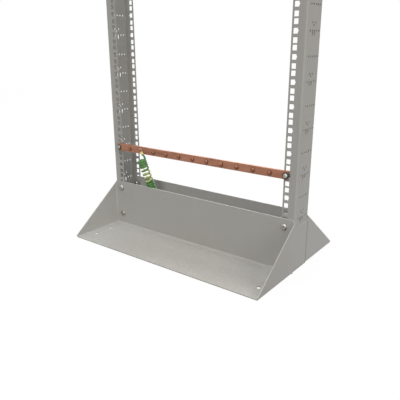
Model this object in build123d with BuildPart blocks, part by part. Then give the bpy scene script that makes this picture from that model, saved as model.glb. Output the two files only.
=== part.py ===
from build123d import *
from math import cos, radians, sin, tan
import os

# Two-post open frame rack for 19 inch equipment.
# Two folded sheet posts stand between a front foot and a rear foot, and a cap joins their tops.
# A copper earth bar crosses the front, with a coiled bonding lead down to the rear foot.
# Millimetres. X runs to the right, Y to the rear, Z up. The origin is on the floor, midway.

# Rack pattern
unit = 44.45
unit_count = 42
first_unit_height = 91.9
hole_from_unit_edge = 6.35
clear_width = 450.0
hole_from_flange_edge = 7.55
square_hole = 9.5

# Posts
post_sheet = 2.0
post_depth = 60.0
flange_width = 29.0
post_bend_radius = 2.0
top_margin = 41.2

# Slots in the side web of each post, one pair in every second unit
web_slot_height = 11.0
web_slot_width = 4.2
web_slot_from_front = 24.0
web_slot_pitch = 9.0
web_slot_rise = 2.0

# Feet
foot_sheet = 2.0
foot_reach = 138.0
foot_height = 115.0
foot_bend_radius = 2.0
gusset_apex_height = 110.0
gusset_tip_height = 5.0
wall_corner_chamfer = 4.0
side_clearance = 0.5
tongue_height = 100.0
tongue_rear_gap = 1.0
floor_hole_diameter = 9.0
near_floor_hole = 49.0
far_floor_hole = 96.0

# Bolt holes where the feet and the cap fasten to the posts
bolt_hole_diameter = 9.0
lower_bolt_height = 29.0

# Cap
cap_sheet = 2.0
cap_lip = 42.0
cap_bend_radius = 2.0
cap_bolt_from_top = 20.0

# Earth bar
bar_height = 15.0
bar_thickness = 5.0
bar_corner_radius = 1.0
bar_unit = 2
bar_lift = 1.5
bar_bolt_from_columns = 1.55
bar_bolt_hole = 6.3
bar_end = 10.0
bar_screw_count = 11
bar_screw_from_bolt = 36.0
bar_screw_hole = 5.3
covered_hole_sides = 12

# Lugs of the bonding lead
lug_thickness = 1.2
lug_eye_diameter = 11.0
lug_neck = 6.0
lug_neck_length = 5.0
lug_barrel_diameter = 7.0
lug_barrel_length = 8.0
lug_barrel_rise = 0.2
lug_screw_number = 2
upper_lug_angle = -44.0
stud_place = (-99.5, 50.0)
stud_hole = 6.3

# Bonding lead
wire_diameter = 4.4
wire_sides = 8
coil_diameter = 26.0
coil_top = (-150.4, -37.0, 181.0)
coil_foot = (-139.5, -6.5, 85.0)
lead_in = 4.0
coil_lead_in = 4.5
coil_lead_out = 15.4

# Derived places
post_front = -post_depth / 2
post_outer = clear_width / 2 + flange_width
post_height = first_unit_height + unit_count * unit + top_margin
hole_x = clear_width / 2 + hole_from_flange_edge
unit_middles = [first_unit_height + unit * (n + 0.5) for n in range(unit_count)]
hole_offset = unit / 2 - hole_from_unit_edge
upper_bolt_height = first_unit_height + hole_from_unit_edge
front_side = post_outer + foot_sheet
cap_bolt_height = post_height - cap_bolt_from_top
bar_middle = unit_middles[bar_unit] + bar_lift
bar_front = post_front - bar_thickness
bar_bolt_x = hole_x - bar_bolt_from_columns
bar_screw_pitch = 2 * (bar_bolt_x - bar_screw_from_bolt) / (bar_screw_count - 1)
lug_place = (bar_screw_pitch * (lug_screw_number - (bar_screw_count + 1) / 2), bar_middle)
lug_reach = lug_neck_length + lug_barrel_length
lug_wire_depth = lug_barrel_diameter / 2 + lug_barrel_rise

os.makedirs("parts", exist_ok=True)


def lug_direction(angle):
    return (cos(radians(angle)), 0, sin(radians(angle)))


upper_barrel = Vector(*lug_direction(upper_lug_angle))
upper_start = Vector(lug_place[0], bar_front - lug_wire_depth, lug_place[1]) + lug_reach * upper_barrel
lower_end = Vector(stud_place[0] - lug_reach, post_depth / 2 - lug_wire_depth, stud_place[1])
coil_axis = (Vector(*coil_foot) - Vector(*coil_top)).normalized()
coil_side = coil_axis.cross(Vector(0, 1, 0)).normalized()
upper_end = Vector(*coil_top) + (coil_diameter / 2 - wire_diameter / 2) * coil_side
upper_route = [
    upper_start, upper_start + lead_in * upper_barrel, upper_end - coil_lead_in * coil_axis, upper_end,
]
lower_route = [
    Vector(*coil_foot), Vector(*coil_foot) + coil_lead_out * coil_axis, (-138.0, 17.5, 56.0),
    (-125.3, 26.3, 50.0), lower_end,
]


def write(piece, name):
    piece.label = name
    export_step(piece, "parts/" + name + ".step")


def post(side):
    """Folded channel post: web on the outside, flanges turned in, square holes in both flanges."""
    middle = post_sheet / 2
    web_x = side * (post_outer - middle)
    edge_x = side * clear_width / 2
    flange_y = post_depth / 2 - middle
    with BuildPart() as channel:
        with BuildSketch(Plane.XY):
            with BuildLine():
                FilletPolyline(
                    (edge_x, -flange_y), (web_x, -flange_y), (web_x, flange_y), (edge_x, flange_y),
                    radius=post_bend_radius,
                )
            trace(line_width=post_sheet)
        extrude(amount=post_height)
        with BuildSketch(Plane.XZ):
            for height in unit_middles:
                with Locations(*[(side * hole_x, height + step) for step in (-hole_offset, 0, hole_offset)]):
                    Rectangle(square_hole, square_hole)
            with Locations((side * hole_x, lower_bolt_height), (side * hole_x, cap_bolt_height)):
                Rectangle(square_hole, square_hole)
        extrude(amount=post_depth, both=True, mode=Mode.SUBTRACT)
        with BuildSketch(Plane.YZ.offset(side * post_outer)):
            for height in unit_middles[::2]:
                for n in range(2):
                    slot_y = post_front + web_slot_from_front + n * web_slot_pitch
                    with Locations((slot_y, height + web_slot_rise - web_slot_height / 2)):
                        Rectangle(web_slot_width, web_slot_height)
        extrude(amount=-side * 2 * post_sheet, mode=Mode.SUBTRACT)
    return channel.part


def write_post(side, hand):
    """Write the post as web and two flanges, parted where the flanges' flats meet the bends."""
    channel = post(side)
    bend_line = Plane.YZ.offset(side * (post_outer - post_bend_radius - post_sheet / 2))
    outward = Keep.TOP if side > 0 else Keep.BOTTOM
    inward = Keep.BOTTOM if side > 0 else Keep.TOP
    with BuildPart() as web:
        add(channel)
        split(bisect_by=bend_line, keep=outward)
    write(web.part, hand + "_post_web")
    with BuildPart() as flanges:
        add(channel)
        split(bisect_by=bend_line, keep=inward)
    front, rear = flanges.solids().sort_by(Axis.Y)
    write(front, hand + "_post_front_flange")
    write(rear, hand + "_post_rear_flange")


def foot(facing, side_x, tongue=None):
    """Folded foot: floor, wall against the posts and two sloping gussets. facing is -1 at the front.

    A tongue carries each gusset on past the wall, outside the post's web, as far as y = tongue.
    """
    wall_inner = facing * post_depth / 2
    wall_middle = wall_inner + facing * foot_sheet / 2
    tip = facing * (post_depth / 2 + foot_reach)
    floor_middle = foot_sheet / 2
    side_middle = side_x - foot_sheet / 2
    bend_end = wall_inner + facing * (foot_sheet + foot_bend_radius)
    beyond = 2 * gusset_apex_height
    with BuildPart() as tray:
        with BuildSketch(Plane.XZ.offset(-tip)):
            with BuildLine():
                FilletPolyline(
                    (-side_middle, gusset_apex_height), (-side_middle, floor_middle),
                    (side_middle, floor_middle), (side_middle, gusset_apex_height),
                    radius=foot_bend_radius,
                )
            trace(line_width=foot_sheet)
        extrude(amount=facing * abs(tip - bend_end))
        with BuildSketch(Plane.YZ):
            with BuildLine():
                Polyline(
                    (tip, gusset_tip_height), (wall_inner, gusset_apex_height),
                    (wall_inner, beyond), (2 * tip, beyond), (2 * tip, gusset_tip_height), close=True,
                )
            make_face()
        extrude(amount=2 * side_x, both=True, mode=Mode.SUBTRACT)
        with BuildSketch(Plane.YZ.offset(foot_sheet + side_clearance - side_x)):
            with BuildLine():
                FilletPolyline(
                    (bend_end + facing * foot_bend_radius, floor_middle), (wall_middle, floor_middle),
                    (wall_middle, foot_height),
                    radius=foot_bend_radius,
                )
            trace(line_width=foot_sheet)
        extrude(amount=2 * (side_x - foot_sheet - side_clearance))
        chamfer(tray.edges().filter_by(Axis.Y).group_by(Axis.Z)[-1], length=wall_corner_chamfer)
        root = foot_sheet + foot_bend_radius
        shoulder = [(wall_inner, gusset_apex_height), (bend_end, gusset_apex_height - root)]
        if tongue is None:
            outline = [(bend_end, 0), (wall_inner, 0)] + shoulder
        else:
            lap = [(tongue, root), (tongue, tongue_height), (wall_inner, tongue_height)]
            outline = [(bend_end, 0), (wall_inner, 0), (wall_inner, root)] + lap + shoulder
        for side in (-1, 1):
            with BuildSketch(Plane.YZ.offset(side * side_x)):
                with BuildLine():
                    Polyline(*outline, close=True)
                make_face()
            extrude(amount=-side * foot_sheet)
        with BuildSketch(Plane.XY):
            for reach in (near_floor_hole, far_floor_hole):
                hole_y = wall_inner + facing * reach
                with Locations((-hole_x, hole_y), (hole_x, hole_y)):
                    Circle(floor_hole_diameter / 2)
        extrude(amount=2 * foot_sheet, mode=Mode.SUBTRACT)
        with BuildSketch(Plane.XZ.offset(-wall_inner)):
            for side in (-1, 1):
                with Locations((side * hole_x, lower_bolt_height), (side * hole_x, upper_bolt_height)):
                    RegularPolygon(bolt_hole_diameter / 2, covered_hole_sides)
            if facing > 0:
                with Locations(stud_place):
                    RegularPolygon(stud_hole / 2, covered_hole_sides)
        extrude(amount=-facing * 2 * foot_sheet, both=True, mode=Mode.SUBTRACT)
    return tray.part


def cap():
    """Folded channel that caps and joins the two posts."""
    lip_y = post_depth / 2 + cap_sheet / 2
    plate_z = post_height + cap_bend_radius
    lip_end = plate_z + cap_sheet / 2 - cap_lip
    with BuildPart() as channel:
        with BuildSketch(Plane.YZ.offset(-post_outer)):
            with BuildLine():
                FilletPolyline(
                    (-lip_y, lip_end), (-lip_y, plate_z), (lip_y, plate_z), (lip_y, lip_end),
                    radius=cap_bend_radius,
                )
            trace(line_width=cap_sheet)
        extrude(amount=2 * post_outer)
        with BuildSketch(Plane.XZ):
            with Locations((-hole_x, cap_bolt_height), (hole_x, cap_bolt_height)):
                RegularPolygon(bolt_hole_diameter / 2, covered_hole_sides)
        extrude(amount=post_depth, both=True, mode=Mode.SUBTRACT)
    return channel.part


def earth_bar():
    """Flat copper bar with a hole for each screw and one near each end for its bolts."""
    length = 2 * (bar_bolt_x + bar_end)
    with BuildPart() as bar:
        with BuildSketch(Plane.XZ.offset(-post_front)):
            with Locations((0, bar_middle)):
                RectangleRounded(length, bar_height, radius=bar_corner_radius)
                with GridLocations(bar_screw_pitch, 0, bar_screw_count, 1):
                    RegularPolygon(bar_screw_hole / 2, covered_hole_sides, mode=Mode.SUBTRACT)
                with GridLocations(2 * bar_bolt_x, 0, 2, 1):
                    RegularPolygon(bar_bolt_hole / 2, covered_hole_sides, mode=Mode.SUBTRACT)
        extrude(amount=bar_thickness)
    return bar.part


def lug(eye, seat, angle, hole):
    """Crimped ring lug on the plane y = seat, its barrel pointing away at angle from +X."""
    face = Plane(origin=(eye[0], seat, eye[1]), x_dir=lug_direction(angle), z_dir=(0, -1, 0))
    barrel = Plane(
        origin=face.from_local_coords((lug_neck_length, 0, lug_wire_depth)),
        x_dir=(0, 1, 0), z_dir=lug_direction(angle),
    )
    with BuildPart() as terminal:
        with BuildSketch(face):
            Circle(lug_eye_diameter / 2)
            with Locations((lug_neck_length / 2 + 1, 0)):
                Rectangle(lug_neck_length + 2, lug_neck)
            RegularPolygon(hole / 2, covered_hole_sides, mode=Mode.SUBTRACT)
        extrude(amount=lug_thickness)
        with BuildSketch(barrel):
            Circle(lug_barrel_diameter / 2)
        extrude(amount=lug_barrel_length)
    return terminal.part


def tube(points, name):
    """Round wire along straight runs joined by tangent arcs; prints each arc's radius."""
    corners = [Vector(point) for point in points]
    radii = []
    for before, corner, after in zip(corners, corners[1:], corners[2:]):
        turn = (corner - before).get_angle(after - corner)
        shorter = min((corner - before).length, (after - corner).length)
        radii.append(0.45 * shorter / tan(radians(turn / 2)))
    print(name, "radii", [round(radius, 1) for radius in radii])
    with BuildPart() as wire:
        with BuildLine():
            path = FilletPolyline(*corners, radius=radii)
        with BuildSketch(Plane(origin=path @ 0, z_dir=path % 0)) as section:
            RegularPolygon(wire_diameter / 2, wire_sides)
        sweep()
    volume_ratio = wire.part.volume / (section.sketch.area * path.length)
    print(name, "length", round(path.length, 1), "volume ratio", round(volume_ratio, 4))
    return wire.part


def coil():
    """Outer shape of the coiled stretch of the lead."""
    top = Vector(*coil_top)
    axis = Vector(*coil_foot) - top
    with BuildPart() as body:
        with BuildSketch(Plane(origin=top, z_dir=axis)):
            Circle(coil_diameter / 2)
        extrude(amount=axis.length)
    return body.part


write_post(-1, "left")
write_post(1, "right")
write(foot(-1, front_side, post_depth / 2 - tongue_rear_gap), "front_foot")
write(foot(1, post_outer), "rear_foot")
write(cap(), "cap")
write(earth_bar(), "earth_bar")
write(lug(lug_place, bar_front, upper_lug_angle, bar_screw_hole), "upper_lug")
write(lug(stud_place, post_depth / 2, 180, stud_hole), "lower_lug")
write(coil(), "lead_coil")
write(tube(upper_route, "lead_upper"), "lead_upper")
write(tube(lower_route, "lead_lower"), "lead_lower")
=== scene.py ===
from math import cos, pi, radians, sin, tau

import bmesh
import bpy
from mathutils import Matrix, Vector


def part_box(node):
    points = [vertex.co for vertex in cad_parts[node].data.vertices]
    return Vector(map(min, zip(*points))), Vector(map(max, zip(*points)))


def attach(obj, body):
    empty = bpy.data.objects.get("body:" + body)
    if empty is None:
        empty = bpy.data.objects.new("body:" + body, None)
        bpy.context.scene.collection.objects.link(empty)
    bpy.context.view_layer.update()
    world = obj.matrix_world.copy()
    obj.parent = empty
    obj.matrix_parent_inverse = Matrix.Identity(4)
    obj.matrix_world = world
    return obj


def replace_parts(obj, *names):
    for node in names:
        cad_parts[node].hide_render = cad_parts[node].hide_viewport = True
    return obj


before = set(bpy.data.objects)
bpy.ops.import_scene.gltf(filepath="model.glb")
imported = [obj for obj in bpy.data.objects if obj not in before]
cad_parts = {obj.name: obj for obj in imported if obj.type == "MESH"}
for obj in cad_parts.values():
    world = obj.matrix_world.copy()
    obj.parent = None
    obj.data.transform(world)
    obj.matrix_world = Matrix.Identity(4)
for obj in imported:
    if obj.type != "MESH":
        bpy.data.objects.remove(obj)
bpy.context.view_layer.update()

mm = 0.001


# Posts
# Two channels of 2 mm steel sheet. Each is punched while flat, with the square holes of the rack
# pattern and small round holes and slots in the web, then folded along two lines and sprayed
# light grey. The coat has a faint orange peel, rubbed streaks and a little dust.

class Signal:
    """A socket in a node tree. Sums and products with it add their Math nodes."""

    def __init__(self, wiring, socket):
        self.wiring = wiring
        self.socket = socket

    def math(self, operation, *values):
        return self.wiring.node("ShaderNodeMath", {"operation": operation}, dict(enumerate(values)))

    def __add__(self, other):
        return self.math("ADD", self, other)

    __radd__ = __add__

    def __sub__(self, other):
        return self.math("SUBTRACT", self, other)

    def __rsub__(self, other):
        return self.math("SUBTRACT", other, self)

    def __mul__(self, other):
        return self.math("MULTIPLY", self, other)

    __rmul__ = __mul__

    def __truediv__(self, other):
        return self.math("DIVIDE", self, other)

    def __rtruediv__(self, other):
        return self.math("DIVIDE", other, self)

    def __abs__(self):
        return self.math("ABSOLUTE", self)

    def least(self, other):
        return self.math("MINIMUM", self, other)

    def most(self, other):
        return self.math("MAXIMUM", self, other)

    def between(self, low, high):
        """0 below low, 1 above high, smooth in between."""
        settings = {"interpolation_type": "SMOOTHSTEP"}
        sockets = {"Value": self, "From Min": low, "From Max": high}
        return self.wiring.node("ShaderNodeMapRange", settings, sockets)


class Wiring:
    """A node tree that is wired up one node at a time."""

    def __init__(self, tree):
        self.tree = tree

    def node(self, kind, settings=None, sockets=None, output=0):
        """Add a node, make its settings, then give its sockets their values or links."""
        node = self.tree.nodes.new(kind)
        for key, value in (settings or {}).items():
            setattr(node, key, value)
        for key, value in (sockets or {}).items():
            self.join(value, node.inputs[key])
        return Signal(self, node.outputs[output])

    def join(self, value, socket):
        for part in value if isinstance(value, list) else [value]:
            if isinstance(part, Signal):
                self.tree.links.new(part.socket, socket)
            else:
                socket.default_value = part

    def vector(self, **axes):
        return self.node("ShaderNodeCombineXYZ", None, axes)


class Finish(Wiring):
    """A material wired up on its Principled shader."""

    def __init__(self, name, **constants):
        self.material = bpy.data.materials.new(name)
        self.material.use_nodes = True
        super().__init__(self.material.node_tree)
        self.shader = self.tree.nodes["Principled BSDF"]
        for key, value in constants.items():
            self.shader.inputs[key.replace("_", " ").title().replace("Ior", "IOR")].default_value = value
        self.place = self.node("ShaderNodeTexCoord", output="Object")

    def noise(self, scale, detail=2.0, roughness=0.5, stretch=(1, 1, 1)):
        stretched = self.node(
            "ShaderNodeMapping", {"vector_type": "POINT"}, {"Vector": self.place, "Scale": stretch}
        )
        sockets = {"Vector": stretched, "Scale": scale, "Detail": detail, "Roughness": roughness}
        return self.node("ShaderNodeTexNoise", {"noise_dimensions": "3D"}, sockets)

    def facing_up(self):
        """1 where the surface faces up, 0 where it stands upright or faces down."""
        normal = self.node("ShaderNodeNewGeometry", output="Normal")
        return self.node("ShaderNodeSeparateXYZ", None, {"Vector": normal}, "Z").between(0.4, 0.95)

    def blend(self, factor, first, second):
        """A colour that goes from first to second."""
        settings = {"data_type": "RGBA", "blend_type": "MIX", "clamp_factor": True}
        return self.node("ShaderNodeMix", settings, {0: factor, 6: first, 7: second}, output=2)

    def colour(self, value):
        self.join(value, self.shader.inputs["Base Color"])

    def roughness(self, value):
        self.join(value, self.shader.inputs["Roughness"])

    def bump(self, height, strength, distance):
        sockets = {"Strength": strength, "Distance": distance, "Height": height}
        raised = self.node("ShaderNodeBump", None, sockets, "Normal")
        self.join(raised, self.shader.inputs["Normal"])


class Recipe(Wiring):
    """A Geometry Nodes tree whose named inputs are the sizes and models that it is given."""

    def __init__(self, name, **given):
        super().__init__(bpy.data.node_groups.new(name, "GeometryNodeTree"))
        sorts = {float: "NodeSocketFloat", int: "NodeSocketInt"}
        self.values = {}
        for key, value in given.items():
            sort = sorts.get(type(value), "NodeSocketObject")
            socket = self.tree.interface.new_socket(key, in_out="INPUT", socket_type=sort)
            self.values[socket.identifier] = value
        self.tree.interface.new_socket("mesh", in_out="OUTPUT", socket_type="NodeSocketGeometry")
        entry = self.tree.nodes.new("NodeGroupInput")
        for key in given:
            setattr(self, key, Signal(self, entry.outputs[key]))

    def shape(self, kind, settings=None, **sockets):
        """A geometry node, its sockets named in plain words."""
        titled = {key.replace("_", " ").title(): value for key, value in sockets.items()}
        return self.node("GeometryNode" + kind, settings, titled)

    def model(self, socket):
        return self.node("GeometryNodeObjectInfo", None, {"Object": socket}, "Geometry")

    def make(self, shape, material):
        """Run the tree once, on the given values, and return its plain mesh as a piece."""
        whole = self.shape("RealizeInstances", geometry=shape)
        coated = self.shape("SetMaterial", geometry=whole, material=material)
        self.join(coated, self.tree.nodes.new("NodeGroupOutput").inputs[0])
        piece = placed(self.tree.name, bpy.data.meshes.new(self.tree.name))
        modifier = piece.modifiers.new("recipe", "NODES")
        modifier.node_group = self.tree
        for identifier, value in self.values.items():
            modifier[identifier] = value
        return settled(piece)


def placed(name, data):
    piece = bpy.data.objects.new(name, data)
    bpy.context.collection.objects.link(piece)
    return piece


def settled(piece):
    """Give a piece the mesh that its modifiers make, and drop them."""
    made = piece.evaluated_get(bpy.context.evaluated_depsgraph_get())
    mesh = bpy.data.meshes.new_from_object(made)
    piece.modifiers.clear()
    piece.data = mesh
    return piece


def thickened(piece, sheet):
    solidify = piece.modifiers.new("sheet", "SOLIDIFY")
    solidify.thickness = sheet
    solidify.offset = 0
    solidify.use_even_offset = True
    return settled(piece)


def drawing(name, loops):
    """Closed lines on a flat sheet, in millimetres."""
    lines = bpy.data.curves.new(name, "CURVE")
    lines.dimensions = "3D"
    for loop in loops:
        spline = lines.splines.new("POLY")
        spline.points.add(len(loop) - 1)
        spline.use_cyclic_u = True
        for point, (x, y) in zip(spline.points, loop):
            point.co = (x, y, 0, 1)
    return placed(name, lines)


def ring(x, y, diameter, sides=12):
    radius = diameter / 2
    return [(x + radius * cos(tau * n / sides), y + radius * sin(tau * n / sides)) for n in range(sides)]


def rounded(x, y, width, height, radius, steps=3):
    """A rectangle with round corners, from the top of its right side round to the bottom of it."""
    loop = []
    for corner, (right, top) in enumerate(((1, 1), (-1, 1), (-1, -1), (1, -1))):
        for step in range(steps):
            angle = radians(90) * (corner + step / (steps - 1))
            loop.append((
                x + right * (width / 2 - radius) + radius * cos(angle),
                y + top * (height / 2 - radius) + radius * sin(angle),
            ))
    return loop


def notched(x, y, width, radius, notch, side):
    """A square hole with a small round notch in the middle of one side."""
    loop = rounded(0, 0, width, width, radius)
    for step in range(5):
        angle = radians(-90 + 45 * step)
        loop.append((width / 2 + notch * cos(angle), notch * sin(angle)))
    return [(x + side * across, y + up) for across, up in loop]


def powder_coat(name, grey):
    """Sprayed grey, warmer in patches, rubbed in streaks and dusty where it faces up."""
    finish = Finish(name, specular_ior_level=0.35)
    warm = (0.375, 0.36, 0.325, 1)
    dust = (0.49, 0.495, 0.50, 1)
    warm_share, rubbed_share, dusty_share = 0.8, 0.16, 0.5
    patches = finish.noise(2.2, detail=3).between(0.35, 0.68)
    streaks = finish.noise(9.0, detail=4, roughness=0.6, stretch=(6, 6, 0.5)).between(0.52, 0.75)
    peel = finish.noise(620.0, detail=1.5)
    speckle = finish.noise(190.0, detail=3, roughness=0.7).between(0.42, 0.7)
    dust_and_fold_highlight = finish.facing_up() * speckle
    painted = finish.blend(patches * warm_share, grey, warm)
    rubbed = finish.blend(streaks * rubbed_share, painted, dust)
    finish.coloured = finish.blend(dust_and_fold_highlight * dusty_share, rubbed, dust)
    finish.colour(finish.coloured)
    finish.roughness(0.46 + 0.1 * streaks + 0.14 * dust_and_fold_highlight)
    finish.bump(peel, strength=0.16, distance=0.25 * mm)
    return finish


paint = powder_coat("grey_powder_coat", (0.394, 0.39, 0.366, 1)).material

post_low, post_high = [Vector(corner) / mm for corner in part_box("right_post_web")]
flange_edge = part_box("right_post_front_flange")[0][0] / mm
sheet = 2.0
bend = 2.0
unit = 44.45
unit_count = 42
first_unit_height = 91.9
first_middle = first_unit_height + unit / 2
square_hole = 9.5
hole_from_edge = 7.55
hole_from_unit_edge = 6.35
hole_step = unit / 2 - hole_from_unit_edge
notch = 1.6
corner = 0.6
low_bolt = 29.0
high_bolt = first_unit_height + hole_from_unit_edge
cap_bolt = post_high.z - 20
small_hole = 4.4
slot_width = 4.2
slot_height = 11.0
slot_rise = 2.0
slot_end = 0.49 * slot_width
web_row = (15, 24, 33, 42, 51)
arrow_spots = ((23.5, 13.6), (35.6, 13.6), (29, 9.5))
bend_lines = 6
touching = 0.01

web_flat = post_high.y - post_low.y - 2 * bend - sheet
flange_flat = post_high.x - flange_edge - bend - sheet / 2
column = web_flat / 2 + bend * pi / 2 + flange_flat - hole_from_edge
front_edge = web_flat / 2 + bend + sheet / 2
from_front = [across - front_edge for across in web_row]

flange_drawings = []
bolt_drawings = []
for side, row in ((-1, "front"), (1, "rear")):
    squares = [
        rounded(side * column, step, square_hole, square_hole, corner) for step in (-hole_step, hole_step)
    ]
    squares.append(notched(side * column, 0, square_hole, corner, notch, -side))
    flange_drawings.append(drawing(row + "_flange_unit", squares))
    bolt_square = rounded(side * column, 0, square_hole, square_hole, corner)
    bolt_drawings.append(drawing(row + "_bolt_hole", [bolt_square]))

plain_row = [ring(across, 0, small_hole) for across in from_front]
slot_middle = slot_rise - slot_height / 2
slots = [rounded(across, slot_middle, slot_width, slot_height, slot_end) for across in from_front[1:3]]
arrow = [ring(across - front_edge, up, small_hole) for across, up in arrow_spots]
plain_unit = drawing("plain_web_unit", plain_row)
marked_unit = drawing("marked_web_unit", [plain_row[0]] + slots + plain_row[3:] + arrow)


def post(name, side):
    """The flat sheet is filled between its holes, then wrapped round the two bends."""
    recipe = Recipe(
        name, height=post_high.z, unit=unit, unit_count=unit_count, first_middle=first_middle,
        web_flat=web_flat, flange_flat=flange_flat, bend_radius=bend, low_bolt=low_bolt, cap_bolt=cap_bolt,
        outside=side * (post_high.x - sheet / 2), side=float(side),
        front_unit=flange_drawings[0], rear_unit=flange_drawings[1],
        front_bolt=bolt_drawings[0], rear_bolt=bolt_drawings[1],
        plain_unit=plain_unit, marked_unit=marked_unit,
    )

    def rows(socket, first, pitch, count):
        line = recipe.shape(
            "MeshLine", {"mode": "OFFSET"}, count=count, start_location=recipe.vector(Y=first),
            offset=recipe.vector(Y=pitch),
        )
        return recipe.shape("InstanceOnPoints", points=line, instance=recipe.model(socket))

    def flat(middle, width, holes):
        edge = recipe.shape(
            "CurvePrimitiveQuadrilateral", {"mode": "RECTANGLE"}, width=width, height=recipe.height
        )
        where = recipe.vector(X=middle, Y=recipe.height * 0.5)
        lines = [recipe.shape("Transform", geometry=edge, translation=where)] + holes
        drawn = recipe.shape("RealizeInstances", geometry=recipe.shape("JoinGeometry", geometry=lines))
        return recipe.shape("FillCurve", curve=drawn)

    arc = recipe.bend_radius * (pi / 2)
    half_web = recipe.web_flat * 0.5
    flats = [flat(0.0, recipe.web_flat, [
        rows(recipe.marked_unit, recipe.first_middle, recipe.unit * 2, recipe.unit_count * 0.5),
        rows(recipe.plain_unit, recipe.first_middle + recipe.unit, recipe.unit * 2, recipe.unit_count * 0.5),
    ])]
    flange_rows = (
        (-1, recipe.front_unit, recipe.front_bolt),
        (1, recipe.rear_unit, recipe.rear_bolt),
    )
    for hand, squares, bolt in flange_rows:
        flats.append(flat(hand * (half_web + arc + recipe.flange_flat * 0.5), recipe.flange_flat, [
            rows(squares, recipe.first_middle, recipe.unit, recipe.unit_count),
            rows(bolt, recipe.low_bolt, recipe.cap_bolt - recipe.low_bolt, 2),
        ]))
        strip = recipe.shape(
            "MeshGrid", size_x=arc, size_y=recipe.height, vertices_x=bend_lines, vertices_y=2
        )
        where = recipe.vector(X=hand * (half_web + arc * 0.5), Y=recipe.height * 0.5)
        flats.append(recipe.shape("Transform", geometry=strip, translation=where))
    joined = recipe.shape("JoinGeometry", geometry=flats)
    merged = recipe.shape("MergeByDistance", geometry=joined, distance=touching)

    spot = recipe.node("GeometryNodeInputPosition")
    across = recipe.node("ShaderNodeSeparateXYZ", None, {"Vector": spot}, "X")
    up = recipe.node("ShaderNodeSeparateXYZ", None, {"Vector": spot}, "Y")
    beyond = (abs(across) - half_web).most(0.0)
    angle = (beyond / recipe.bend_radius).least(pi / 2)
    inward = recipe.bend_radius * (1 - angle.math("COSINE", angle)) + (beyond - arc).most(0.0)
    away = abs(across).least(half_web) + recipe.bend_radius * angle.math("SINE", angle)
    folded = recipe.vector(
        X=recipe.outside - recipe.side * inward, Y=away * across.math("SIGN", across), Z=up
    )
    bent = recipe.shape("SetPosition", geometry=merged, position=folded)
    sized = recipe.shape("Transform", geometry=bent, scale=(mm, mm, mm))
    piece = thickened(recipe.make(sized, paint), sheet * mm)
    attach(piece, "root")
    return piece


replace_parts(post("left_post", -1), "left_post_web", "left_post_front_flange", "left_post_rear_flange")
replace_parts(post("right_post", 1), "right_post_web", "right_post_front_flange", "right_post_rear_flange")
for pattern in flange_drawings + bolt_drawings + [plain_unit, marked_unit]:
    bpy.data.objects.remove(pattern)


# Feet and cap
# Each foot is one sheet, folded up into a floor, a wall against the posts and two sloping sides,
# in a coat a little lighter than the posts'. A painted highlight lightens the floor along its folds,
# and a painted shadow darkens the sides in the seam beside the tongue. The cap is a folded channel
# over the posts' tops, in the posts' own coat.

foot_grey = (0.413, 0.41, 0.386, 1)
# Colour and share of the painted highlight along the floor's folds.
fold_highlight_colour = (0.53, 0.53, 0.52, 1)
fold_highlight_share = 0.2
# Colour and share of the painted shadow in the seam beside the tongue.
seam_shadow_colour = (0.10, 0.10, 0.09, 1)
seam_shadow_share = 0.7
foot_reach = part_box("front_foot")[1][0] / mm
outer_face = foot_reach - sheet - 0.8
side_fold = foot_reach - 8
wall_face = post_high.y + sheet
wall_fold = wall_face + 2
tongue_height = 100
seam_y = post_high.y - 1.5
seam_top = tongue_height - 2


def coat_of_foot():
    """The posts' coat, with a painted highlight along the folds of the floor and a painted shadow in the seam
    beside the tongue.
    """
    finish = powder_coat("foot_powder_coat", foot_grey)

    def past(distance, start, width):
        return distance.between(start * mm, (start + width) * mm)

    x, y, z = [finish.node("ShaderNodeSeparateXYZ", None, {"Vector": finish.place}, axis) for axis in "XYZ"]
    outer = past(abs(x), outer_face, 0.6)
    by_wall = 1 - past(abs(y), wall_fold, 3.0)
    by_side = past(abs(x), side_fold, 3.0)
    on_floor = 1 - past(z, 3.0, 3.0)
    # Painted highlight: the floor is lighter in a band along its folds to the wall and to the sides, as where
    # light catches the bends.
    dust_and_fold_highlight = (1 - outer) * on_floor * by_wall.most(by_side)
    fold_highlighted = finish.blend(dust_and_fold_highlight * fold_highlight_share, finish.coloured, fold_highlight_colour)
    # Painted shadow: a dark band on the outer faces of the sides, beside the end of the tongue and below its
    # top, where the step throws shade.
    near_seam = 1 - past(abs(y - seam_y * mm), 1.5, 1.5)
    below_top = 1 - past(z, seam_top, 2.0)
    seam_shadow_mask = outer * near_seam * below_top
    finish.colour(finish.blend(seam_shadow_mask * seam_shadow_share, fold_highlighted, seam_shadow_colour))
    return finish.material


foot_paint = coat_of_foot()
for name, coat in (("front_foot", foot_paint), ("rear_foot", foot_paint), ("cap", paint)):
    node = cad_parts[name]
    node.data.materials.clear()
    node.data.materials.append(coat)


# Bolts of the feet and the cap
# Zinc plated M8 pan head screws with a cross recess go through the foot's wall or the cap's lip
# and the post's flange, into hexagon nuts inside the channel. Each stopped at its own angle.

def turned(name, profile, sides, smooth=35, start=0.0):
    """A solid turned about Z from its (radius, height) profile, in millimetres."""
    mesh = bmesh.new()
    rows = []
    for side in range(sides):
        angle = start + tau * side / sides
        x, y = cos(angle) * mm, sin(angle) * mm
        rows.append([mesh.verts.new((radius * x, radius * y, height * mm)) for radius, height in profile])
    for n in range(sides):
        here, there = rows[n - 1], rows[n]
        for k in range(len(profile) - 1):
            mesh.faces.new((here[k], there[k], there[k + 1], here[k + 1]))
    return finished(name, mesh, smooth)


def finished(name, mesh, smooth=35):
    """Close a mesh, turn its faces outwards, smooth its round faces and make it a piece."""
    bmesh.ops.remove_doubles(mesh, verts=mesh.verts, dist=0.002 * mm)
    bmesh.ops.recalc_face_normals(mesh, faces=mesh.faces)
    for face in mesh.faces:
        face.smooth = True
    data = bpy.data.meshes.new(name)
    mesh.to_mesh(data)
    mesh.free()
    data.set_sharp_from_angle(angle=radians(smooth))
    return placed(name, data)


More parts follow.
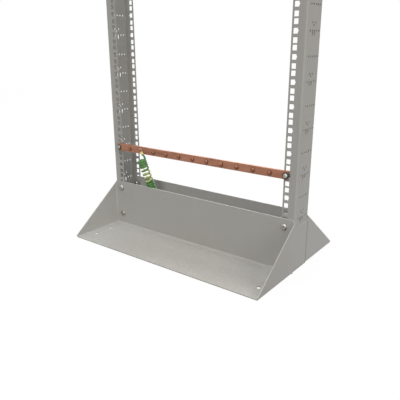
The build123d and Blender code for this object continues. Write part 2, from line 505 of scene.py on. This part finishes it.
def prism(name, outline, low, high, taper=1.0):
    """A solid over an outline from height low to high, its low end scaled by taper."""
    mesh = bmesh.new()
    ends = [
        [mesh.verts.new((x * scale * mm, y * scale * mm, height * mm)) for x, y in outline]
        for height, scale in ((low, taper), (high, 1.0))
    ]
    for end in ends:
        mesh.faces.new(end)
    for n in range(len(outline)):
        mesh.faces.new((ends[0][n - 1], ends[0][n], ends[1][n], ends[1][n - 1]))
    return finished(name, mesh)


def recessed(head, cutter):
    """Sink the cutter into a head, and drop the cutter."""
    cut = head.modifiers.new("recess", "BOOLEAN")
    cut.operation = "DIFFERENCE"
    cut.solver = "EXACT"
    cut.object = cutter
    settled(head)
    bpy.data.objects.remove(cutter)


def cross(reach, half_width):
    """The outline of a cross recess."""
    corner = [(reach, -half_width), (reach, half_width), (half_width, half_width)]
    loop = []
    for quarter in range(4):
        turn = Matrix.Rotation(radians(90 * quarter), 2)
        loop += [tuple(turn @ Vector(point)) for point in corner]
    return loop


def shank(radius, length, start, pitch):
    """The profile of a threaded shank below a head, down to its end at -length."""
    profile = [(radius, 0.0), (radius, -start)]
    height = -start
    while height - pitch > -length:
        profile += [(radius * 0.86, height - pitch / 2), (radius, height - pitch)]
        height -= pitch
    return profile + [(radius * 0.8, -length), (0, -length)]


def fastened(name, fitting, places, material, facing=-1, spread=pi, seed=1):
    """The fitting at every place, facing the front or the rear, each turned by a seeded angle."""
    marks = bpy.data.meshes.new(name)
    marks.from_pydata([Vector(place) * mm for place in places], [], [])
    spots = placed(name + "_places", marks)
    recipe = Recipe(name, fitting=fitting, places=spots, tilt=-facing * pi / 2, spread=spread, seed=seed)
    standing = recipe.shape(
        "InstanceOnPoints", points=recipe.model(recipe.places), instance=recipe.model(recipe.fitting),
        rotation=recipe.vector(X=recipe.tilt),
    )
    angle = recipe.node(
        "FunctionNodeRandomValue", {"data_type": "FLOAT"},
        {2: recipe.spread * -1, 3: recipe.spread, "Seed": recipe.seed}, output=1,
    )
    turned_round = recipe.shape(
        "RotateInstances", instances=standing, rotation=recipe.vector(Z=angle), local_space=True
    )
    piece = recipe.make(turned_round, material)
    bpy.data.objects.remove(spots)
    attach(piece, "root")


def zinc_plate():
    finish = Finish("zinc_plate", metallic=1.0)
    bright = (0.44, 0.43, 0.40, 1)
    dull = (0.28, 0.27, 0.25, 1)
    clouds = finish.noise(160.0, detail=3, roughness=0.6).between(0.35, 0.7)
    finish.colour(finish.blend(clouds, bright, dull))
    finish.roughness(0.38 + 0.14 * clouds)
    finish.bump(finish.noise(900.0), strength=0.12, distance=0.1 * mm)
    return finish.material


zinc = zinc_plate()
hexagon_sides = 6
nut_width = 13
head_dome = [(0, 4.5), (2.6, 4.45), (4.6, 4.1), (6.0, 3.3), (6.8, 2.1), (7.0, 0.9), (6.9, 0.0)]
pan_head = turned("pan_head", head_dome + shank(radius=4.0, length=16.0, start=5.5, pitch=1.25), sides=24)
recessed(pan_head, prism("driver", cross(reach=3.1, half_width=0.75), low=1.6, high=5.0, taper=0.55))
wide = nut_width / 2 / cos(pi / hexagon_sides)
nut_ring = [(4.0, 0.3), (wide - 1.2, 0), (wide, 0.8), (wide, 5.7), (wide - 1.2, 6.5), (4.0, 6.2), (4.0, 0.3)]
nut = turned("nut", nut_ring, sides=hexagon_sides, smooth=20)

bolt_x = flange_edge + hole_from_edge
for row, facing in (("front", -1), ("rear", 1)):
    rows_up = (low_bolt, high_bolt, cap_bolt)
    heads = [(side * bolt_x, facing * wall_face, height) for side in (-1, 1) for height in rows_up]
    nuts = [(x, facing * (post_high.y - sheet), height) for x, y, height in heads]
    fastened(row + "_bolts", pan_head, heads, zinc, facing, seed=3 + facing)
    fastened(row + "_nuts", nut, nuts, zinc, -facing, seed=9 + facing)


# Welds of the feet
# A painted bead closes the gap in each inner corner between a foot's wall and its sloping sides,
# from just above the floor to just below the side's top.

bead = 1.3
hollow = bead * 0.35
weld_low, weld_high = 3.0, 105.0
for row, facing in (("front", -1), ("rear", 1)):
    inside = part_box(row + "_foot")[1][0] / mm - sheet
    for hand, side in (("left", -1), ("right", 1)):
        corner_x, corner_y = side * inside, facing * wall_face
        outline = [
            (corner_x, corner_y), (corner_x - side * bead, corner_y),
            (corner_x - side * hollow, corner_y + facing * hollow), (corner_x, corner_y + facing * bead),
        ]
        weld = prism(row + "_" + hand + "_weld", outline, weld_low, weld_high)
        weld.data.materials.append(foot_paint)
        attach(weld, "root")


# Earth bar
# A flat bar of rolled copper across the front of the posts, its edges broken by tumbling. It has
# dulled in handling, with fine scratches along it, and a painted shadow darkens a ring round each
# screw, set a little right of and below it.

bar_low, bar_high = [Vector(corner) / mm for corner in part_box("earth_bar")]
bar_middle = (bar_low.z + bar_high.z) / 2
bar_thickness = bar_high.y - bar_low.y
bolt_from_end = 10.0
end_past_bolt = 5.0
bolt_to_screw = 36
bar_bolt_x = bar_high.x - bolt_from_end
bar_bolts_x = (-bar_bolt_x, bar_bolt_x)
bar_reach = bar_bolt_x + end_past_bolt
bar_height = 17.2
bar_corner = 1.0
broken_edge = 0.5
screw_rise = 1.1
screw_row = bar_middle + screw_rise
screw_count = 11
screw_pitch = 2 * (bar_bolt_x - bolt_to_screw) / (screw_count - 1)
screws_x = [screw_pitch * (n - (screw_count - 1) / 2) for n in range(screw_count)]
screw_hole, bolt_hole = 5.3, 6.3
# Offset and radii of the painted shadow round each screw of the bar.
screw_shadow_shift = 1.1
screw_shadow_inside, screw_shadow_outside = 4.2 * mm, 6.9 * mm


def dull_copper():
    finish = Finish("dull_copper", metallic=0.55)
    bright = (0.40, 0.18, 0.11, 1)
    brown = (0.25, 0.11, 0.065, 1)
    dark = (0.13, 0.06, 0.04, 1)
    tarnish = finish.noise(26.0, detail=4, roughness=0.65, stretch=(0.5, 1, 2.5)).between(0.38, 0.72)
    drawn = finish.noise(60.0, detail=3, stretch=(0.12, 6, 14))
    spots = finish.noise(210.0, detail=2).between(0.62, 0.74)
    x, z = [finish.node("ShaderNodeSeparateXYZ", None, {"Vector": finish.place}, axis) for axis in "XZ"]
    # Painted shadow: a dark ring round each screw head, shifted right and down as if cast by it, added to the
    # tarnish spots and drawn lines.
    in_pitches = (x - screw_shadow_shift * mm) / (screw_pitch * mm) + 0.5
    beside = (in_pitches.math("FRACT", in_pitches) - 0.5) * (screw_pitch * mm)
    above = z - (screw_row - screw_shadow_shift) * mm
    screw_shadow = 1 - (beside * beside + above * above).between(screw_shadow_inside ** 2, screw_shadow_outside ** 2)
    aged = finish.blend(tarnish * 0.8, bright, brown)
    darkened = screw_shadow * 0.85 + spots * 0.35 + drawn.between(0.55, 0.8) * 0.25
    finish.colour(finish.blend(darkened, aged, dark))
    finish.roughness(0.4 + 0.14 * tarnish + 0.1 * drawn)
    finish.bump(drawn, strength=0.2, distance=0.15 * mm)
    return finish.material


copper = dull_copper()
holes = [ring(x, screw_row, screw_hole, sides=20) for x in screws_x]
holes += [ring(x, bar_middle, bolt_hole, sides=20) for x in bar_bolts_x]
edge = rounded(0, screw_row, 2 * bar_reach, bar_height, bar_corner)
bar_lines = drawing("bar_lines", [edge] + holes)
recipe = Recipe("copper_earth_bar", lines=bar_lines, seat=(bar_low.y + bar_high.y) / 2, turn=pi / 2)
face = recipe.shape("FillCurve", curve=recipe.model(recipe.lines))
standing = recipe.shape(
    "Transform", geometry=face, rotation=recipe.vector(X=recipe.turn),
    translation=recipe.vector(Y=recipe.seat),
)
bar = recipe.make(recipe.shape("Transform", geometry=standing, scale=(mm, mm, mm)), copper)
bpy.data.objects.remove(bar_lines)
bar = thickened(bar, bar_thickness * mm)
bevel = bar.modifiers.new("broken_edges", "BEVEL")
bevel.width = broken_edge * mm
bevel.segments = 2
bevel.limit_method = "ANGLE"
bevel.angle_limit = radians(50)
settled(bar)
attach(bar, "root")
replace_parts(bar, "earth_bar")


# Screws of the bar
# Eleven copper plated M5 slotted screws for bonding leads, and at each end an M6 pan head over a
# black cup washer, into a cage nut that is clipped in the flange's square hole.

def plated_copper():
    finish = Finish("copper_plate", metallic=0.85)
    bright = (0.38, 0.165, 0.10, 1)
    dull = (0.18, 0.07, 0.042, 1)
    clouds = finish.noise(240.0, detail=3).between(0.35, 0.7)
    finish.colour(finish.blend(clouds, bright, dull))
    finish.roughness(0.24 + 0.2 * clouds)
    finish.bump(finish.noise(900.0), strength=0.12, distance=0.1 * mm)
    return finish.material


def black_plastic():
    finish = Finish("black_plastic")
    black = (0.018, 0.016, 0.014, 1)
    worn = (0.045, 0.04, 0.035, 1)
    grain = finish.noise(420.0, detail=3)
    finish.colour(finish.blend(grain, black, worn))
    finish.roughness(0.42 + 0.2 * grain)
    finish.bump(grain, strength=0.2, distance=0.1 * mm)
    return finish.material


def spring_steel():
    finish = Finish("spring_steel", metallic=1.0)
    bright = (0.42, 0.40, 0.36, 1)
    straw = (0.28, 0.25, 0.21, 1)
    heat = finish.noise(90.0, detail=2).between(0.35, 0.65)
    finish.colour(finish.blend(heat, bright, straw))
    finish.roughness(0.35 + 0.15 * finish.noise(300.0))
    return finish.material


copper_plate = plated_copper()
lug_screw = 1
lug_thickness = 1.2
screw_dome = [(0, 2.5), (1.8, 2.4), (3.1, 2.05), (3.9, 1.5), (4.25, 0.8), (4.2, 0.0)]
screw_shank = shank(radius=2.5, length=8.6, start=5.0, pitch=0.8)
screw_head = turned("bar_screw_model", screw_dome + screw_shank, sides=20)
blade_reach, blade_half = 5, 0.55
blade = [(x * blade_reach, y * blade_half) for x, y in ((-1, -1), (1, -1), (1, 1), (-1, 1))]
recessed(screw_head, prism("blade", blade, low=1.4, high=4.0))
seats = [
    (x, bar_low.y - (lug_thickness if n == lug_screw else 0), screw_row) for n, x in enumerate(screws_x)
]
fastened("bar_screws", screw_head, seats, copper_plate, seed=5)

washer_thickness = 1.6
cup_floor = 0.9
cup = [
    (3.2, 0), (7.0, 0), (7.0, 0.7), (6.2, washer_thickness), (5.2, washer_thickness), (4.6, cup_floor),
    (3.2, cup_floor), (3.2, 0),
]
cup_washer = turned("cup_washer_model", cup, sides=28)
washer_seats = [(x, bar_low.y, bar_middle) for x in bar_bolts_x]
fastened("cup_washers", cup_washer, washer_seats, black_plastic())

bolt_dome = [(0, 3.2), (1.9, 3.15), (3.4, 2.8), (4.3, 2.1), (4.7, 1.2), (4.75, 0.3), (4.6, 0.0)]
bolt_shank = shank(radius=3.0, length=17.0, start=6.0, pitch=1.0)
bar_bolt = turned("bar_bolt_model", bolt_dome + bolt_shank, sides=24)
small_driver = prism("small_driver", cross(reach=2.2, half_width=0.55), low=1.0, high=4.0, taper=0.55)
recessed(bar_bolt, small_driver)
bolt_seats = [(x, bar_low.y - cup_floor, bar_middle) for x in bar_bolts_x]
fastened("bar_bolts", bar_bolt, bolt_seats, zinc, seed=8)

flange_inside = post_low.y + sheet
square_nut_width = 11
square_wide = square_nut_width / 2 / cos(pi / 4)
square_ring = [
    (3.0, 0.4), (square_wide - 0.8, 0.4), (square_wide, 1.2), (square_wide, 5.4), (square_wide - 0.8, 6.2),
    (3.0, 6.2), (3.0, 0.4),
]
square_nut = turned("square_nut_model", square_ring, sides=4, smooth=20, start=pi / 4)
nut_seats = [(x, flange_inside, bar_middle) for x in bar_bolts_x]
fastened("cage_nuts", square_nut, nut_seats, zinc, facing=1, spread=0.0)
cage_half = 4.3
clip_line = [
    (-8, 0), (-8, 0.6), (-6.3, 0.6), (-6.3, 7.0), (6.3, 7.0), (6.3, 0.6), (8, 0.6), (8, 0), (5.7, 0),
    (5.7, 6.4), (-5.7, 6.4), (-5.7, 0),
]
cage = prism("cage_model", clip_line, -cage_half, cage_half)
cage.data.transform(Matrix.Rotation(pi / 2, 4, "X"))
fastened("nut_cages", cage, nut_seats, spring_steel(), facing=1, spread=0.0)
for model in (pan_head, nut, screw_head, cup_washer, bar_bolt, square_nut, cage):
    bpy.data.objects.remove(model)


# Bonding lead
# Green and yellow stranded wire between two ring lugs: one under a screw of the bar, one on a stud
# of the rear foot's wall. It was wound round a rod by hand, so the coil is tight at both ends,
# drawn open between, and the wire's yellow side shows in the open turns.

wire_diameter = 4.4 * mm
winding = 8.6 * mm
coil_top = Vector((-151.6, -37.0, 181.0)) * mm
coil_foot = Vector((-139.9, -6.5, 85.0)) * mm
coil_axis = (coil_foot - coil_top).normalized()
coil_side = coil_axis.cross(Vector((0, 1, 0))).normalized()
coil_front = coil_axis.cross(coil_side)
points_per_turn = 16
close_wound, drawn_open = 5.6 * mm, 10.2 * mm
open_from, open_to = 16.6 * mm, 58.0 * mm
bow = 1.2 * mm
first_turn = -0.1
coil_lead = 3.0 * mm
coil_tail = 6 * mm
barrel_run = 4.0 * mm
foot_run = 15.4 * mm
lug_reach = 13.0 * mm
wire_depth = 3.7 * mm
lug_angle = radians(-44)
upper_eye = Vector((screws_x[lug_screw], bar_low.y, screw_row)) * mm
upper_barrel = Vector((cos(lug_angle), 0, sin(lug_angle)))
upper_start = upper_eye + lug_reach * upper_barrel - Vector((0, wire_depth, 0))
stud_place = Vector((-99.5, post_high.y, 50.0)) * mm
lower_end = stud_place - Vector((lug_reach, wire_depth, 0))

coil_length = (coil_foot - coil_top).length
turns = []
turn = first_turn
along = -coil_lead
while along < coil_length - coil_tail:
    outward = cos(tau * turn) * coil_side + sin(tau * turn) * coil_front
    bowed = bow * sin(pi * along / coil_length) * coil_side
    turns.append(coil_top + along * coil_axis + winding * outward - bowed)
    pitch = drawn_open if open_from < along < open_to else close_wound
    turn += 1 / points_per_turn
    along += pitch / points_per_turn
above_coil = turns[0] - coil_lead * coil_axis
upper_route = [upper_start, upper_start + barrel_run * upper_barrel, above_coil]
lower_route = [
    coil_foot + foot_run * coil_axis, Vector((-138.0, 17.5, 56.0)) * mm,
    Vector((-125.3, 26.3, 50.0)) * mm, lower_end,
]
route = upper_route + turns + lower_route

line = bpy.data.curves.new("lead_line", "CURVE")
line.dimensions = "3D"
spline = line.splines.new("NURBS")
spline.points.add(len(route) - 1)
for point, place in zip(spline.points, route):
    point.co = (*place, 1)
spline.order_u = 3
spline.use_endpoint_u = True
spline.resolution_u = 4
drawn_line = placed("lead_line", line)
line_mesh = bpy.data.meshes.new_from_object(drawn_line.evaluated_get(bpy.context.evaluated_depsgraph_get()))
path = [vertex.co.copy() for vertex in line_mesh.vertices]
bpy.data.objects.remove(drawn_line)

wire_sides = 14
angles = [tau * k / wire_sides for k in range(wire_sides)]
radius = wire_diameter / 2
mesh = bmesh.new()
wire_map = mesh.loops.layers.uv.new("wire")
rings = []
travelled = [0.0]
out = coil_side
for n, point in enumerate(path):
    ahead = (path[min(n + 1, len(path) - 1)] - path[max(n - 1, 0)]).normalized()
    spoke = point - coil_top
    spoke -= spoke.dot(coil_axis) * coil_axis
    if spoke.length > wire_diameter:
        out = spoke
    out = (out - out.dot(ahead) * ahead).normalized()
    beside = ahead.cross(out)
    if n:
        travelled.append(travelled[-1] + (point - path[n - 1]).length)
    rings.append([mesh.verts.new(point + radius * (cos(a) * out + sin(a) * beside)) for a in angles])
for n in range(len(rings) - 1):
    for k in range(wire_sides):
        corners = ((k, n), (k + 1, n), (k + 1, n + 1), (k, n + 1))
        face = mesh.faces.new([rings[ring_n][side % wire_sides] for side, ring_n in corners])
        for loop, (side, ring_n) in zip(face.loops, corners):
            loop[wire_map].uv = (side / wire_sides, travelled[ring_n])
for end in (rings[0], rings[-1]):
    mesh.faces.new(end)
lead = finished("bonding_lead", mesh, smooth=60)


def striped_wire(yellow_from, yellow_to):
    """Green wire with a yellow stripe, which turns to the inside of the coil between two lengths."""
    finish = Finish("green_yellow_wire")
    green = (0.055, 0.22, 0.055, 1)
    yellow = (0.66, 0.62, 0.20, 1)
    grey_green = (0.10, 0.11, 0.05, 1)
    uv = finish.node("ShaderNodeUVMap", {"uv_map": "wire"})
    around = finish.node("ShaderNodeSeparateXYZ", None, {"Vector": uv}, "X")
    length = finish.node("ShaderNodeSeparateXYZ", None, {"Vector": uv}, "Y")
    turning_in, turning_out = 0.06, 0.05
    drawn = length.between(yellow_from, yellow_from + turning_in)
    drawn *= 1 - length.between(yellow_to, yellow_to + turning_out)
    turned_side = around + 0.75 + 0.4 * drawn + 0.06 * finish.noise(70.0)
    side = turned_side.math("FRACT", turned_side)
    soft = 0.025
    stripe_low, stripe_high = 0.27, 0.73
    stripe = side.between(stripe_low, stripe_low + soft) * (1 - side.between(stripe_high - soft, stripe_high))
    grime = finish.noise(140.0, detail=3).between(0.5, 0.8)
    coloured = finish.blend(stripe, green, yellow)
    finish.colour(finish.blend(grime * 0.25, coloured, grey_green))
    finish.roughness(0.36 + 0.12 * finish.noise(300.0))
    finish.bump(finish.noise(900.0), strength=0.1, distance=0.1 * mm)
    return finish.material


lead_in = 24 * mm
turn_length = tau * winding
yellow_turns = (3.3, 7.1)
lead.data.materials.append(striped_wire(*[lead_in + count * turn_length for count in yellow_turns]))


# Lugs
# Tinned copper rings, each stamped from sheet with its tongue, under a pale yellow sleeve that is
# crimped on the wire. The lower one is held on its stud by a nut.

def tinned():
    finish = Finish("tinned_copper", metallic=1.0)
    bright = (0.66, 0.62, 0.50, 1)
    yellowed = (0.45, 0.40, 0.28, 1)
    clouds = finish.noise(200.0, detail=3).between(0.35, 0.7)
    finish.colour(finish.blend(clouds, bright, yellowed))
    finish.roughness(0.3 + 0.18 * clouds)
    return finish.material


def sleeve_vinyl():
    finish = Finish("pale_yellow_vinyl", coat_weight=0.15)
    clean = (0.74, 0.66, 0.30, 1)
    soiled = (0.58, 0.48, 0.20, 1)
    clouds = finish.noise(120.0, detail=3).between(0.35, 0.7)
    finish.colour(finish.blend(clouds, clean, soiled))
    finish.roughness(0.36 + 0.14 * clouds)
    finish.bump(finish.noise(700.0), strength=0.15, distance=0.1 * mm)
    return finish.material


stud_dome = [(0, 3.6), (2.2, 3.55), (3.9, 3.2), (4.9, 2.3), (5.4, 1.0), (5.4, 0.0)]
stud_shank = shank(radius=3.0, length=14.0, start=3.0, pitch=1.0)
stud = turned("stud_model", stud_dome + stud_shank, sides=24)
recessed(stud, prism("stud_driver", cross(reach=2.4, half_width=0.6), low=1.2, high=4.2, taper=0.55))
stud_back = (stud_place.x / mm, post_high.y + sheet, stud_place.z / mm)
fastened("lug_stud", stud, [stud_back], zinc, facing=1, seed=12)
stud_nut_width = 10
stud_wide = stud_nut_width / 2 / cos(pi / hexagon_sides)
stud_ring = [
    (3.0, 0.2), (stud_wide - 0.9, 0), (stud_wide, 0.6), (stud_wide, 4.4), (stud_wide - 0.9, 5.0),
    (3.0, 4.8), (3.0, 0.2),
]
stud_nut = turned("stud_nut_model", stud_ring, sides=hexagon_sides, smooth=20)
nut_seat = (stud_place.x / mm, post_high.y - lug_thickness, stud_place.z / mm)
fastened("lug_nut", stud_nut, [nut_seat], zinc, seed=14)
for model in (stud, stud_nut):
    bpy.data.objects.remove(model)

tin = tinned()
vinyl = sleeve_vinyl()
ring_radius, eye_radius = 5.5, 2.7
eye_cut = [(0, -1), (eye_radius, -1), (eye_radius, 3), (0, 3)]
tongue = [(6.5, -3.0), (6.5, 3.0)]
ring_plate = [(ring_radius * cos(radians(a)), ring_radius * sin(radians(a))) for a in range(33, 328, 15)]
sleeve_from_eye = 5.0
sleeve_profile = [
    (0, 0), (2.9, 0), (3.2, 0.4), (3.2, 1.4), (2.8, 1.9), (2.8, 3.6), (3.2, 4.1), (3.3, 6.6), (3.5, 7.2),
    (3.5, 8.0), (2.6, 8.0), (2.4, 7.7), (0, 7.7),
]
for name, eye, angle in (("upper", upper_eye, lug_angle), ("lower", stud_place, pi)):
    stand = Matrix.Translation(eye) @ Matrix.Rotation(-angle, 4, "Y") @ Matrix.Rotation(pi / 2, 4, "X")
    plate = prism(name + "_lug_ring", ring_plate + tongue, 0.0, lug_thickness)
    recessed(plate, turned("eye", eye_cut, sides=24))
    plate.data.transform(stand)
    plate.data.materials.append(tin)
    sleeve = turned(name + "_lug_sleeve", sleeve_profile, sides=24)
    along_wire = Vector((sleeve_from_eye, 0, wire_depth / mm)) * mm
    lay_down = Matrix.Translation(along_wire) @ Matrix.Rotation(pi / 2, 4, "Y")
    sleeve.data.transform(stand @ lay_down)
    sleeve.data.materials.append(vinyl)
    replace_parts(plate, name + "_lug")
    for piece in (plate, sleeve):
        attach(piece, "root")

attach(lead, "root")
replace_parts(lead, "lead_upper", "lead_coil", "lead_lower")


# Studio
# A plain pale floor, seen from the photograph's angle. Four wide soft lamps stand above, high in
# front, at the right and behind, and the floor and the sky show white to the camera.

azimuth, elevation, roll = radians(37.313), radians(18.123), radians(-0.228)
camera_place = Vector((0.638629, -0.843801, 0.44643))
back = Vector((sin(azimuth) * cos(elevation), -cos(azimuth) * cos(elevation), sin(elevation)))
level = Vector((cos(azimuth), sin(azimuth), 0))
upright = back.cross(level)
across = cos(roll) * level + sin(roll) * upright
up = cos(roll) * upright - sin(roll) * level
camera = placed("camera", bpy.data.cameras.new("camera"))
camera.data.lens = 42.751
camera.data.sensor_width = 36
camera.data.clip_end = 50
camera.data.shift_y = 0.0009
camera.matrix_world = Matrix.Translation(camera_place) @ Matrix((across, up, back)).transposed().to_4x4()
bpy.context.scene.camera = camera
bpy.context.scene.view_settings.view_transform = "Standard"


def seen_plainly(wiring):
    """1 for what the camera sees, also in a reflection or through glass."""
    seen = [
        wiring.node("ShaderNodeLightPath", output="Is %s Ray" % ray)
        for ray in ("Camera", "Glossy", "Transmission")
    ]
    return seen[0].most(seen[1]).most(seen[2])


def white_where_seen(tree, surface, share):
    """Show pure white to the camera over a share of the surface, and keep its own light."""
    wiring = Wiring(tree)
    seen = seen_plainly(wiring)
    white = wiring.node("ShaderNodeEmission", None, {"Color": (1, 1, 1, 1), "Strength": 1.0})
    end = next(node for node in tree.nodes if node.type.startswith("OUTPUT"))
    own = surface(wiring, seen)
    mixed = wiring.node("ShaderNodeMixShader", None, {0: seen * share, 1: own, 2: white})
    wiring.join(mixed, end.inputs["Surface"])


def open_sky(wiring, seen):
    return wiring.node("ShaderNodeBackground", None, {"Color": (1, 1, 1, 1), "Strength": world_light})


def pale_paper(wiring, seen):
    """Pale to the eye, and duller to the light that bounces off it on to the rack."""
    tone = floor_bounce + (paper - floor_bounce) * seen
    colour = wiring.node("ShaderNodeCombineColor", None, {"Red": tone, "Green": tone, "Blue": tone})
    return wiring.node("ShaderNodeBsdfDiffuse", None, {"Color": colour})


world_light = 0.05
world = bpy.data.worlds.new("studio")
bpy.context.scene.world = world
world.use_nodes = True
white_where_seen(world.node_tree, open_sky, 1.0)

floor_reach = 4.0
paper = 0.9
floor_bounce = 0.25
floor_white = 0.93
floor_mesh = bpy.data.meshes.new("floor")
floor_corners = [(x * floor_reach, y * floor_reach, 0) for x, y in ((-1, -1), (1, -1), (1, 1), (-1, 1))]
floor_mesh.from_pydata(floor_corners, [], [(0, 1, 2, 3)])
floor = placed("floor", floor_mesh)
floor_finish = bpy.data.materials.new("pale_floor")
floor_finish.use_nodes = True
white_where_seen(floor_finish.node_tree, pale_paper, floor_white)
floor_mesh.materials.append(floor_finish)


def lamp(name, place, aim, size, power):
    light = bpy.data.lights.new(name, "AREA")
    light.shape = "SQUARE"
    light.size = size
    light.energy = power
    light.color = (1, 0.99, 0.985)
    stand = placed(name, light)
    stand.location = place
    stand.rotation_euler = (Vector(aim) - Vector(place)).to_track_quat("-Z", "Y").to_euler()


lamp("overhead", (0, -0.8, 7.4), (0, -0.8, 0), 7.6, 385)
lamp("front_high", (1.6, -6.0, 5.0), (0, 0, 0.6), 4.2, 300)
lamp("right_fill", (6.8, -1.3, 3.4), (0, 0, 0.6), 4.2, 246)
lamp("rear_fill", (-3.2, 6.2, 4.8), (0, 0, 0.6), 4.4, 330)
